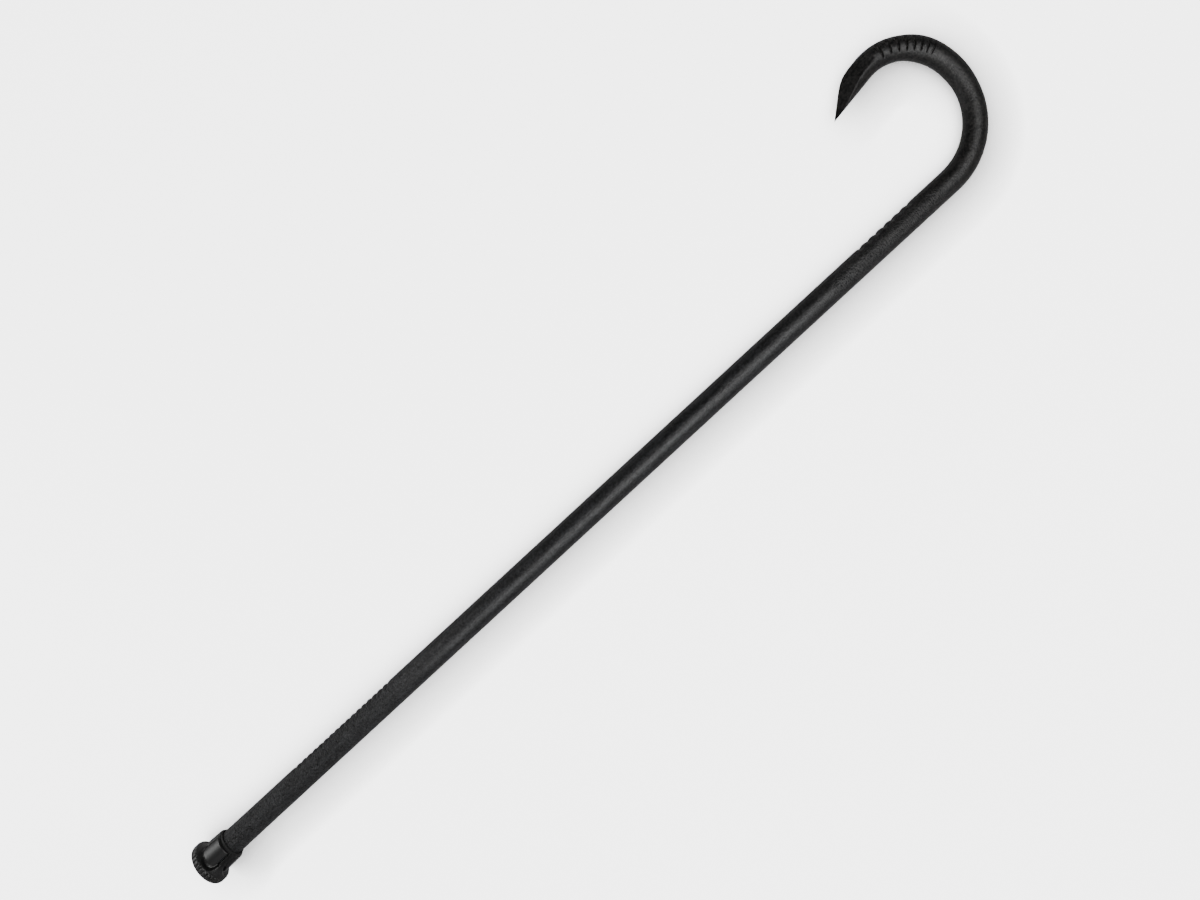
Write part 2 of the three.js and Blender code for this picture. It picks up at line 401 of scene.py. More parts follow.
def into_scene(name: str, data: bpy.types.ID) -> bpy.types.Object:
    """Makes an object and links it into the scene.

    Args:
        name: the object's name.
        data: its mesh, lamp or camera.

    Returns:
        The object at the origin.
    """
    made = bpy.data.objects.new(name, data)
    bpy.context.scene.collection.objects.link(made)
    return made


def spread(start: float, end: float, step: float) -> list[float]:
    """Evenly spaced places from start up to, but not at, end.

    Args:
        start: the first place.
        end: the place that the last step reaches.
        step: the longest step allowed.

    Returns:
        The places.
    """
    slack = 1e-6
    count = max(1, math.ceil((end - start) / step - slack))
    return [start + (end - start) * i / count for i in range(count)]


class Paint:
    """A material's node tree, with the few building blocks that the finishes share."""

    def __init__(self, name: str) -> None:
        """Makes a node material with one surface shader.

        Args:
            name: the material's name.
        """
        self.material = bpy.data.materials.new(name)
        self.material.use_nodes = True
        self.tree = self.material.node_tree
        self.shader = next(n for n in self.tree.nodes if n.type == "BSDF_PRINCIPLED")
        self.places = self.tree.nodes.new("ShaderNodeTexCoord").outputs["Object"]
        apart = self.tree.nodes.new("ShaderNodeSeparateXYZ")
        self.tree.links.new(self.places, apart.inputs[0])
        self.x, self.y, self.z = (Field(self.tree, s) for s in apart.outputs)

    def stretched(self, x: float, y: float, z: float) -> bpy.types.NodeSocket:
        """The places on the piece, scaled along each axis.

        Args:
            x: the scale along X.
            y: the scale along Y.
            z: the scale along Z.

        Returns:
            The socket with the scaled places.
        """
        node = self.tree.nodes.new("ShaderNodeMapping")
        node.inputs["Scale"].default_value = (x, y, z)
        self.tree.links.new(self.places, node.inputs["Vector"])
        return node.outputs["Vector"]

    def mottle(self, size: float, detail: float = 2.0, rough: float = 0.5,
               places: Optional[bpy.types.NodeSocket] = None) -> Field:
        """Soft cloudy noise between 0 and 1.

        Args:
            size: the size of one cloud in metres.
            detail: how many finer layers it has.
            rough: how strong the finer layers are.
            places: other places than the piece's own.

        Returns:
            The noise.
        """
        node = self.tree.nodes.new("ShaderNodeTexNoise")
        node.inputs["Scale"].default_value = 1 / size
        node.inputs["Detail"].default_value = detail
        node.inputs["Roughness"].default_value = rough
        self.tree.links.new(places or self.places, node.inputs["Vector"])
        return Field(self.tree, node.outputs["Fac"])

    def pebbles(self, size: float, smoothness: float = 0.6) -> Field:
        """The distance to the middle of the nearest pebble, in pebble sizes.

        Args:
            size: the size of one pebble in metres.
            smoothness: how far the dips between the pebbles are rounded.

        Returns:
            The distance, 0 in the middle and about 0.6 at the edge.
        """
        node = self.tree.nodes.new("ShaderNodeTexVoronoi")
        node.feature = "SMOOTH_F1"
        node.inputs["Scale"].default_value = 1 / size
        node.inputs["Smoothness"].default_value = smoothness
        self.tree.links.new(self.places, node.inputs["Vector"])
        return Field(self.tree, node.outputs["Distance"])

    def blend(self, share: Field, first: Colour,
              second: Union[Colour, bpy.types.NodeSocket]) -> bpy.types.NodeSocket:
        """A colour between two others.

        Args:
            share: 0 for the first colour and 1 for the second.
            first: the first colour.
            second: the second colour, plain or from another blend.

        Returns:
            The colour's socket.
        """
        node = self.tree.nodes.new("ShaderNodeMix")
        node.data_type = "RGBA"
        share_in, first_in, second_in = (node.inputs[i] for i in (0, 6, 7))
        feed(self.tree, share_in, share)
        first_in.default_value = (*first, 1)
        if isinstance(second, bpy.types.NodeSocket):
            self.tree.links.new(second, second_in)
        else:
            second_in.default_value = (*second, 1)
        return node.outputs[2]

    def relief(self, height: Field, depth: float) -> None:
        """Gives the surface fine relief.

        Args:
            height: the relief, about 0 to 1.
            depth: how high 1 is, in metres.
        """
        node = self.tree.nodes.new("ShaderNodeBump")
        node.inputs["Strength"].default_value = 1.0
        node.inputs["Distance"].default_value = depth
        self.tree.links.new(height.socket, node.inputs["Height"])
        self.tree.links.new(node.outputs["Normal"], self.shader.inputs["Normal"])

    def finish(self, colour: bpy.types.NodeSocket, roughness: Field, specular: float = 0.5,
               metallic: float = 0.0) -> bpy.types.Material:
        """Connects the shader and gives the material.

        Args:
            colour: the colour's socket.
            roughness: the roughness.
            specular: how strongly it reflects, 0.5 for a common plastic.
            metallic: 1 for bare metal.

        Returns:
            The finished material.
        """
        self.tree.links.new(colour, self.shader.inputs["Base Color"])
        self.tree.links.new(roughness.socket, self.shader.inputs["Roughness"])
        self.shader.inputs["Specular IOR Level"].default_value = specular
        self.shader.inputs["Metallic"].default_value = metallic
        return self.material


@dataclass(frozen=True)
class MouldedPolymer:
    """Black moulded polymer: pebbled near the foot and below the crook, satin elsewhere."""

    dark: Colour = (0.0006, 0.0006, 0.0007)
    worn: Colour = (0.0120, 0.0125, 0.0135)
    warm: Colour = (0.0122, 0.0115, 0.0109)
    warm_start: float = 0.60
    warm_full: float = 0.90
    pebble: float = 1.5 * MM
    pebble_fall: float = 1.5
    clump: float = 2.2 * MM
    fine_grain: float = 0.95 * MM
    satin_grain: float = 1.6 * MM
    cloud: float = 4.0 * MM
    streak: float = 3.0 * MM
    streak_squeeze: float = 0.12
    relief_depth: float = 1.25 * MM
    coarse_shares: tuple[float, float, float] = (0.80, 0.95, 1.05)
    smooth_shares: tuple[float, float, float] = (0.28, 0.22, 0.16)
    wear_shares: tuple[float, float, float] = (0.35, 0.45, 0.30)
    wear_start: float = 0.48
    wear_full: float = 0.64
    foot_pebbles_full: float = 0.130
    foot_pebbles_end: float = 0.300
    crook_pebbles_start: float = 0.749
    crook_pebbles_end: float = 0.863
    crook_pebbles_fade: float = 0.014
    crook_pebbles_share: float = 0.38
    shaft_side: float = 0.016
    crook_side: float = 0.030
    roughness: float = 0.42
    least_roughness: float = 0.2
    roughness_near_foot: float = 0.10
    roughness_by_cloud: float = 0.14
    roughness_by_grain: float = 0.35
    roughness_by_foot_grain: float = 0.45
    roughness_by_satin: float = 0.30
    specular: float = 0.32

    def material(self) -> bpy.types.Material:
        """Builds the material.

        Returns:
            The polymer's material.
        """
        paint = Paint("moulded_polymer")
        on_shaft = paint.y.eased(self.crook_side, self.shaft_side)
        near_foot = paint.x.eased(self.foot_pebbles_end, self.foot_pebbles_full)
        near_crook = paint.x.within(
            self.crook_pebbles_start, self.crook_pebbles_end, self.crook_pebbles_fade)
        pebbled = (near_foot + near_crook).least(1.0) * on_shaft
        clouds = paint.mottle(self.cloud)
        stones = 1.0 - paint.pebbles(self.pebble) * self.pebble_fall
        clumps = paint.mottle(self.clump, detail=3.0, rough=0.6)
        fine = paint.mottle(self.fine_grain, rough=0.6)
        satin = paint.mottle(self.satin_grain, detail=3.0, rough=0.6)
        coarse = weighed((stones, clumps, fine), self.coarse_shares)
        coarse = coarse * (near_foot + near_crook * self.crook_pebbles_share) * on_shaft
        smooth = weighed((satin, fine, clouds), self.smooth_shares) * (1.0 - pebbled)
        paint.relief(coarse + smooth, self.relief_depth)

        along = paint.stretched(self.streak_squeeze, 1.0, 1.0)
        streaks = paint.mottle(self.streak, detail=3.0, rough=0.6, places=along)
        wear = weighed((streaks, clumps, fine), self.wear_shares)
        wear = wear.eased(self.wear_start, self.wear_full)
        tint = paint.blend(paint.x.eased(self.warm_start, self.warm_full), self.worn, self.warm)
        by_grain = near_foot * self.roughness_by_foot_grain + self.roughness_by_grain
        roughness = (self.roughness + near_foot * self.roughness_near_foot
                     + (clouds - 0.5) * self.roughness_by_cloud + (fine - 0.5) * by_grain
                     + (satin - 0.5) * self.roughness_by_satin)
        colour = paint.blend(wear, self.dark, tint)
        return paint.finish(colour, roughness.most(self.least_roughness), self.specular)


@dataclass(frozen=True)
class FerruleRubber:
    """Black rubber: glossy pads, matte and grained between them, a dull collar held at the plain
    dark colour partly as painted shade, dusty tread.
    """

    dark: Colour = (0.0015, 0.0015, 0.0016)
    dusty: Colour = (0.0110, 0.0107, 0.0104)
    grain: float = 0.8 * MM
    cloud: float = 3.5 * MM
    grain_depth: float = 0.16 * MM
    relief_shares: tuple[float, float] = (0.9, 0.4)
    pad_smoothness: float = 0.95
    collar_start: float = 27.3 * MM
    collar_full: float = 27.6 * MM
    dust_height: float = 6.5 * MM
    dust_shares: tuple[float, float, float] = (0.55, 0.30, 0.20)
    dust_cloud_start: float = 0.52
    dust_cloud_full: float = 0.78
    roughness: float = 0.38
    least_roughness: float = 0.12
    roughness_on_pads: float = 0.10
    roughness_on_collar: float = 0.40
    roughness_by_cloud: float = 0.10
    roughness_at_tread: float = 0.32
    specular: float = 0.36

    def material(self) -> bpy.types.Material:
        """Builds the material.

        Returns:
            The rubber's material.
        """
        paint = Paint("ferrule_rubber")
        node = paint.tree.nodes.new("ShaderNodeAttribute")
        node.attribute_name = PAD_SHARE
        pad = Field(paint.tree, node.outputs["Fac"])
        grain = paint.mottle(self.grain, detail=3.0, rough=0.6)
        clouds = paint.mottle(self.cloud)
        collar = paint.x.eased(self.collar_start, self.collar_full)
        # Pads and collar get no grain and no dust; the collar's plain dark colour is its own black
        # rubber and in part painted shade of the gap at the mouth.
        rough = 1.0 - (pad * self.pad_smoothness).most(collar)
        paint.relief(weighed((grain, clouds), self.relief_shares) * rough, self.grain_depth)
        low = paint.x.eased(self.dust_height, 0.0)
        dusty_clouds = clouds.eased(self.dust_cloud_start, self.dust_cloud_full)
        dust = weighed((low, dusty_clouds, grain), self.dust_shares) * rough
        roughness = (self.roughness + pad * self.roughness_on_pads
                     + collar * self.roughness_on_collar
                     + (clouds - 0.5) * self.roughness_by_cloud * rough
                     + low * self.roughness_at_tread)
        colour = paint.blend(dust, self.dark, self.dusty)
        return paint.finish(colour, roughness.most(self.least_roughness), self.specular)


@dataclass(frozen=True)
class DrawnSteel:
    """Mild steel drawn along its length: fine lines, a little oil and a few dull spots."""

    bright: Colour = (0.58, 0.59, 0.60)
    dull: Colour = (0.33, 0.32, 0.31)
    line: float = 0.35 * MM
    line_squeeze: float = 0.02
    line_depth: float = 0.02 * MM
    spot: float = 5 * MM
    spot_start: float = 0.50
    spot_full: float = 0.72
    dull_shares: tuple[float, float] = (0.8, 0.2)
    roughness: float = 0.26
    roughness_shares: tuple[float, float] = (0.14, 0.18)

    def material(self) -> bpy.types.Material:
        """Builds the material.

        Returns:
            The steel's material.
        """
        paint = Paint("drawn_steel")
        along = paint.stretched(self.line_squeeze, 1.0, 1.0)
        lines = paint.mottle(self.line, rough=0.6, places=along)
        spots = paint.mottle(self.spot, detail=3.0).eased(self.spot_start, self.spot_full)
        paint.relief(lines, self.line_depth)
        dullness = weighed((spots, lines), self.dull_shares).least(1.0)
        roughness = self.roughness + weighed((lines, spots), self.roughness_shares)
        return paint.finish(paint.blend(dullness, self.bright, self.dull), roughness, metallic=1.0)


@dataclass(frozen=True)
class PaleFloor:
    """A plain pale matte floor, which glows for the camera, its glow dimmed near the cane into a
    painted soft shadow.
    """

    light: Colour = (0.34, 0.34, 0.34)
    shade: Colour = (0.33, 0.33, 0.33)
    cloud: float = 0.25
    roughness: float = 0.75
    roughness_by_cloud: float = 0.05
    glow: float = 4.2
    painted_shadow_reach: float = 40 * MM
    painted_shadow_samples: int = 3
    painted_shadow_light_from: Place = (-0.35, 0.50, 0.79)

    def material(self) -> bpy.types.Material:
        """Builds the material.

        Returns:
            The floor's material.
        """
        paint = Paint("pale_floor")
        nodes, links = paint.tree.nodes, paint.tree.links
        clouds = paint.mottle(self.cloud)
        seen = Field(paint.tree, nodes.new("ShaderNodeLightPath").outputs["Is Camera Ray"])
        # Painted shadow: ambient occlusion, taken round a normal tilted to one side, dims the
        # floor's camera-only glow beside the cane.
        painted_shadow_ao = nodes.new("ShaderNodeAmbientOcclusion")
        painted_shadow_ao.samples = self.painted_shadow_samples
        painted_shadow_ao.inputs["Distance"].default_value = self.painted_shadow_reach
        towards = nodes.new("ShaderNodeCombineXYZ")
        for socket, share in zip(towards.inputs, self.painted_shadow_light_from):
            socket.default_value = share
        links.new(towards.outputs[0], painted_shadow_ao.inputs["Normal"])
        clear = Field(paint.tree, painted_shadow_ao.outputs["AO"])
        # The glow falls with the cube of the open share, which paints the soft shadow on the lower
        # side of the cane.
        glow = seen * clear * clear * clear * self.glow
        paint.shader.inputs["Emission Color"].default_value = (1, 1, 1, 1)
        links.new(glow.socket, paint.shader.inputs["Emission Strength"])
        roughness = self.roughness + clouds * self.roughness_by_cloud
        return paint.finish(paint.blend(clouds, self.light, self.shade), roughness, specular=0.0)


@dataclass
class Centreline:
    """The cane's centreline: a straight shaft, a wide bend, a tighter crown and a straight beak."""

    bend_start: float = 884.9 * MM
    bend_radius: float = 69 * MM
    bend_turn: float = math.radians(106)
    crown_radius: float = 50.6 * MM
    crown_turn: float = math.radians(82.2)
    beak_length: float = 53.4 * MM

    @property
    def bend_length(self) -> float:
        """The length of the wide bend."""
        return self.bend_radius * self.bend_turn

    @property
    def crown_length(self) -> float:
        """The length of the crown."""
        return self.crown_radius * self.crown_turn

    @property
    def crown_start(self) -> float:
        """How far along the crown starts."""
        return self.bend_start + self.bend_length

    @property
    def beak_start(self) -> float:
        """How far along the beak starts."""
        return self.crown_start + self.crown_length

    @property
    def end(self) -> float:
        """How far along the centreline ends."""
        return self.beak_start + self.beak_length

    @property
    def beak_heading(self) -> float:
        """The direction of the beak, turned from +X towards +Y."""
        return self.bend_turn + self.crown_turn

    def place(self, along: float) -> tuple[float, float, float]:
        """The centreline's place and direction.

        Args:
            along: the length from the foot.

        Returns:
            X, Y and the heading in radians.
        """
        first = min(max(along - self.bend_start, 0), self.bend_length) / self.bend_radius
        second = min(max(along - self.crown_start, 0), self.crown_length) / self.crown_radius
        third = max(along - self.beak_start, 0)
        turn = first + second
        x = (min(along, self.bend_start) + self.bend_radius * math.sin(first)
             + self.crown_radius * (math.sin(turn) - math.sin(first))
             + third * math.cos(self.beak_heading))
        y = (self.bend_radius * (1 - math.cos(first))
             + self.crown_radius * (math.cos(first) - math.cos(turn))
             + third * math.sin(self.beak_heading))
        return x, y, turn


@dataclass
class GripRow:
    """One row of sharp nicks between shallow bumps, on the side that the crook curls to."""

    start: float
    pitch: float
    count: int
    depth: float
    full_turn: float
    end_turn: float
    steps_per_nick: int

    @property
    def ends(self) -> tuple[float, float]:
        """Where the row starts and ends along the shaft."""
        return self.start - self.pitch / 2, self.start + self.pitch * (self.count - 0.5)

    def depth_at(self, along: Field, turn: Field) -> Field:
        """How far the row sinks into the shaft.

        Args:
            along: the place along the shaft.
            turn: the angle from the inward side, without its sign.

        Returns:
            The depth in metres.
        """
        step = (along - self.start) / self.pitch
        nearest = step.nearest_whole().most(0.0).least(self.count - 1)
        off = (step - nearest).size() * 2
        notch = (1.0 - off).most(0.0)
        reach = turn.eased(math.radians(self.end_turn), math.radians(self.full_turn))
        return notch * notch * self.depth * reach


@dataclass
class GripHollows:
    """The row of teardrop hollows across the outer half of the crown, on both of its faces."""

    count: int = 8
    first_angle: float = 77.3
    first_step: float = 9.4
    step_change: float = -0.6
    depth: float = 2.5 * MM
    top: float = -9.8 * MM
    deepest: float = -3.9 * MM
    narrowing: float = 1.8 * MM
    point: float = 6.2 * MM
    half_width_top: float = 2.9 * MM
    half_width_point: float = 0.8 * MM
    steep_share: float = 0.62
    wall_steepness: float = 1.7
    upright_heading: float = 90.0

    def depth_at(self, heading: Field, inward: Field, radius: float) -> Field:
        """How far the hollows sink into the crown.

        Args:
            heading: the centreline's direction in radians.
            inward: the distance from the centreline towards the inside of the crook.
            radius: the crown's centreline radius.

        Returns:
            The depth in metres.
        """
        angle = heading * (180 / math.pi) - self.upright_heading
        gone = self.first_angle - angle
        half = self.first_step - self.step_change / 2
        inside = half * half + gone * (2 * self.step_change)
        index = (half - inside.root()) / -self.step_change
        nearest = index.nearest_whole().most(0.0).least(self.count - 1)
        local = self.first_step + index * self.step_change
        off = (index - nearest) * local * (math.pi / 180) * (radius - inward)
        share = (inward - self.top) / (self.point - self.top)
        half_width = self.half_width_top + share * (self.half_width_point - self.half_width_top)
        off = off.most(0.0) / self.steep_share - off.least(0.0)
        packing = local / self.first_step
        across = (1.0 - off / (half_width * packing)) * self.wall_steepness
        across = across.most(0.0).least(1.0)
        round_hollow = across * across * (3.0 - across * 2.0)
        length = inward.eased(self.top, self.deepest) * inward.eased(self.point, self.narrowing)
        return round_hollow * length * packing * self.depth


@dataclass
class CaneBody:
    """The moulded body: shaft, crook and beak in one piece, with the rod's blind bore."""

    line: Centreline = field(default_factory=Centreline)
    shaft_radius: float = 11.1 * MM
    foot_end: float = 9.1 * MM
    foot_chamfer: float = 0.4 * MM
    bore_radius: float = 4.3 * MM
    bore_end: float = 870.2 * MM
    bore_rings: tuple[float, float] = (0.6, 0.3)
    pole_radius: float = 0.01 * MM
    radius_shares: tuple[tuple[float, float], ...] = (
        (0, 1), (0.34, 0.975), (0.45, 1.03), (0.56, 1.075), (0.66, 0.99), (0.80, 0.92), (1, 0.92))
    shares_overrun: float = 2 * MM
    point_turn: float = math.radians(31.7)
    bevel_tilt: float = math.radians(34)
    bevel_tilt_start: float = math.radians(21)
    tilt_change_start: float = 66 * MM
    tilt_change_end: float = 32 * MM
    bevel_start: float = 74 * MM
    bevel_full: float = 64 * MM
    bevel_least_gain: float = 0.3
    clear_of_bevel: float = 10.0
    edge_rounding: float = 0.55 * MM
    shoulder_rounding: float = 10 * MM
    nose_full_cut: float = 1.5 * MM
    nose_blend: float = 0.4 * MM
    bevel_blend: float = 0.5 * MM
    tip_width: float = 0.7 * MM
    tip_share: float = 0.3
    tip_mark: float = -1.0
    sides: int = 112
    lower_row: GripRow = field(default_factory=lambda: GripRow(
        start=114.2 * MM, pitch=6.4 * MM, count=18, depth=1.35 * MM,
        full_turn=28, end_turn=50, steps_per_nick=12))
    upper_row: GripRow = field(default_factory=lambda: GripRow(
        start=786.0 * MM, pitch=9.4 * MM, count=7, depth=1.15 * MM,
        full_turn=26, end_turn=48, steps_per_nick=16))
    hollows: GripHollows = field(default_factory=GripHollows)
    hollows_start: float = 2 * MM
    hollows_end: float = 12 * MM
    hollows_fade_start: float = 1 * MM
    hollows_fade: float = 3 * MM
    nick_place: float = 47.7 * MM
    nick_half_width: float = 0.6 * MM
    nick_reach: float = 2 * MM
    nick_side: float = 5.7 * MM
    nick_length: float = 6 * MM
    nick_depth: float = 0.45 * MM
    nick_height_fade: float = 2 * MM
    plain_step: float = 9 * MM
    nick_step: float = 0.25 * MM
    below_bend_step: float = 6 * MM
    bend_step: float = 1.6 * MM
    hollows_step: float = 0.36 * MM
    beak_step: float = 0.8 * MM

    def tip_along(self) -> float:
        """How far along the beak is only the tip's width across."""
        return self.line.end - self.tip_width / math.tan(self.point_turn)

    def rings(self) -> list[Ring]:
        """The sheet's rings, closer together where the shape changes faster.

        A ring's bore number is its radius inside the bore, 0 on the skin, or the tip's mark.

        Returns:
            The rings from the bore's blind end, out of the foot and up to the beak's tip.
        """
        line, lower, upper = self.line, self.lower_row, self.upper_row
        nick_ends = self.nick_place - self.nick_reach, self.nick_place + self.nick_reach
        hollows_ends = line.crown_start + self.hollows_start, line.beak_start - self.hollows_end
        tip = self.tip_along()
        places = [
            *spread(self.foot_end + self.foot_chamfer, nick_ends[0], self.plain_step),
            *spread(*nick_ends, self.nick_step),
            *spread(nick_ends[1], lower.ends[0], self.plain_step),
            *spread(*lower.ends, lower.pitch / lower.steps_per_nick),
            *spread(lower.ends[1], upper.ends[0], self.plain_step),
            *spread(*upper.ends, upper.pitch / upper.steps_per_nick),
            *spread(upper.ends[1], line.bend_start, self.below_bend_step),
            *spread(line.bend_start, hollows_ends[0], self.bend_step),
            *spread(*hollows_ends, self.hollows_step),
            *spread(hollows_ends[1], tip, self.beak_step),
            tip,
        ]
        bore = [self.bore_end, *self.bore_rings, self.foot_end]
        foot_face = self.shaft_radius - self.foot_chamfer
        return [
            Ring({"along": self.bore_end, "bore": self.pole_radius}, pole=True),
            *(Ring({"along": place, "bore": self.bore_radius}) for place in bore),
            Ring({"along": self.foot_end, "bore": foot_face}),
            *(Ring({"along": place, "bore": 0.0}) for place in places),
            Ring({"along": tip + self.tip_share * self.tip_width, "bore": self.tip_mark},
                 pole=True),
        ]

    def tree(self, finish: bpy.types.Material) -> Shaper:
        """Builds the Geometry Nodes tree that bends, swells, cuts and grooves the body.

        Args:
            finish: the body's material.

        Returns:
            The tree.
        """
        line = self.line
        shaper = Shaper("cane_body_shape", {
            "Shaft Radius": self.shaft_radius,
            "Bend Start": line.bend_start,
            "Bend Radius": line.bend_radius,
            "Bend Turn": line.bend_turn,
            "Crown Radius": line.crown_radius,
            "Crown Turn": line.crown_turn,
            "Beak Length": line.beak_length,
            "Beak Point Turn": self.point_turn,
            "Grip Depth Share": 1.0,
        })
        along, around, bore = (shaper.stored(name) for name in ("along", "around", "bore"))
        bend_radius, crown_radius = shaper.size("Bend Radius"), shaper.size("Crown Radius")
        bend_turn, crown_turn = shaper.size("Bend Turn"), shaper.size("Crown Turn")
        start = shaper.size("Bend Start")
        bend_length, crown_length = bend_radius * bend_turn, crown_radius * crown_turn
        first = (along - start).most(0.0).least(bend_length) / bend_radius
        second = (along - start - bend_length).most(0.0).least(crown_length) / crown_radius
        run = (along - start - bend_length - crown_length).most(0.0)
        heading = first + second
        last = bend_turn + crown_turn
        x = (along.least(start) + bend_radius * first.sine()
             + crown_radius * (heading.sine() - first.sine()) + run * last.cosine())
        y = (bend_radius * (1.0 - first.cosine())
             + crown_radius * (first.cosine() - heading.cosine()) + run * last.sine())
        side_x, side_y = heading.sine() * -1.0, heading.cosine()

        radius = self.radius_at(shaper, along)
        behind = start + bend_length + crown_length + shaper.size("Beak Length") - along
        inward, height = self.section(shaper, x, y, heading, radius, behind, around)

        on_skin_within = 1e-6
        skin = maths(shaper.tree, "COMPARE", bore, 0.0, on_skin_within)
        turned = maths(shaper.tree, "ARCTAN2", height, inward).size()
        on_crown = along.within(
            line.crown_start + self.hollows_fade_start, line.beak_start, self.hollows_fade)
        depth = (self.lower_row.depth_at(along, turned) + self.upper_row.depth_at(along, turned)
                 + self.nick_depth_at(along, inward, height)
                 + self.hollows.depth_at(heading, inward, line.crown_radius) * on_crown)
        depth = depth * shaper.size("Grip Depth Share")
        keep = 1.0 - depth / radius
        plain = 1.0 - skin
        inward = inward * keep * skin + bore.most(0.0) * around.cosine() * plain
        height = height * keep * skin + bore.most(0.0) * around.sine() * plain
        tip = bore.eased(self.tip_mark * 0.4, self.tip_mark * 0.6)
        inward = inward + tip * (radius - self.tip_share * self.tip_width)
        shaper.close(x + side_x * inward, y + side_y * inward, height, finish)
        return shaper

    def radius_at(self, shaper: Shaper, along: Field) -> Field:
        """The tube's radius, swelling over the crown and slimmer at the beak.

        Args:
            shaper: the tree.
            along: the place along the centreline.

        Returns:
            The radius in metres.
        """
        start = self.line.bend_start - self.shares_overrun
        length = self.line.end + self.shares_overrun - start
        share: Number = 1.0
        for (place, before), (next_place, after) in zip(self.radius_shares, self.radius_shares[1:]):
            if after != before:
                rise = along.eased(start + length * place, start + length * next_place)
                share = rise * (after - before) + share
        return shaper.size("Shaft Radius") * share

    def section(self, shaper: Shaper, x: Field, y: Field, heading: Field, radius: Field,
                behind: Field, around: Field) -> tuple[Field, Field]:
        """A point of the tube's section: a circle that the beak's two bevels cut down.

        Args:
            shaper: the tree.
            x: the centreline's X.
            y: the centreline's Y.
            heading: the centreline's direction.
            radius: the tube's radius.
            behind: how far the section lies behind the beak's tip.
            around: the point's angle on the ring.

        Returns:
            How far the point lies from the centreline, towards the crook's inside and +Z.
        """
        line = self.line
        end_x, end_y, end_heading = line.place(line.end)
        beak_radius = self.shaft_radius * self.radius_shares[-1][1]
        tip_x = end_x - math.sin(end_heading) * beak_radius
        tip_y = end_y + math.cos(end_heading) * beak_radius
        crook_turn = shaper.size("Bend Turn") + shaper.size("Crown Turn")
        edge_heading = crook_turn + shaper.size("Beak Point Turn")
        depth = (y - tip_y) * edge_heading.cosine() - (x - tip_x) * edge_heading.sine()
        gain = (edge_heading - heading).cosine().most(self.bevel_least_gain)
        near = behind.eased(self.bevel_start, self.bevel_full)
        sharp_edge = depth / gain * -1.0 - (1.0 - near) * self.clear_of_bevel

        tilt = behind.eased(self.tilt_change_end, self.tilt_change_start)
        tilt = tilt * (self.bevel_tilt_start - self.bevel_tilt) + self.bevel_tilt
        slope = gain * tilt.maths("TANGENT")
        inset = self.edge_rounding / 2 / (slope * slope)
        outer = (sharp_edge + inset).most_rounded(radius * -1.0, self.shoulder_rounding)
        inward = outer + (radius - outer) * ((around.cosine() + 1.0) * 0.5)
        circle = (radius * radius - inward * inward).root()
        plane = (inward - sharp_edge) * slope
        cut_in = (outer + radius).eased(self.nose_full_cut, 0.0)
        nose_radius = cut_in * (radius - self.edge_rounding) + self.edge_rounding
        past_edge = inward - outer
        nose = (past_edge * nose_radius * 2.0).root() + past_edge * slope
        bevel = plane.least_rounded(nose, self.nose_blend)
        cut = circle.least_rounded(bevel, self.bevel_blend).least(circle)
        height = (circle + (cut - circle) * near).most(0.0)
        return inward, height * around.sine().sign()

    def nick_depth_at(self, along: Field, inward: Field, height: Field) -> Field:
        """The depth of the one short nick above the ferrule.

        Args:
            along: the place along the shaft.
            inward: the distance towards the inward side.
            height: the distance towards +Z.

        Returns:
            The depth in metres.
        """
        across = (1.0 - (along - self.nick_place).size() / self.nick_half_width).most(0.0)
        length = (inward - self.nick_side).size().eased(self.nick_length / 2, self.nick_length / 4)
        return across * length * height.eased(0.0, self.nick_height_fade) * self.nick_depth

    def build(self, finish: bpy.types.Material) -> bpy.types.Object:
        """Builds the body and puts it in the place of its CAD node.

        Args:
            finish: the body's material.

        Returns:
            The finished piece.
        """
        sheet = lay_sheet("cane_body_look", self.rings(), self.sides, 2 * math.pi)
        piece = self.tree(finish).bake(sheet, finish)
        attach(piece, Body.CANE.value)
        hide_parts("cane_body")
        return piece


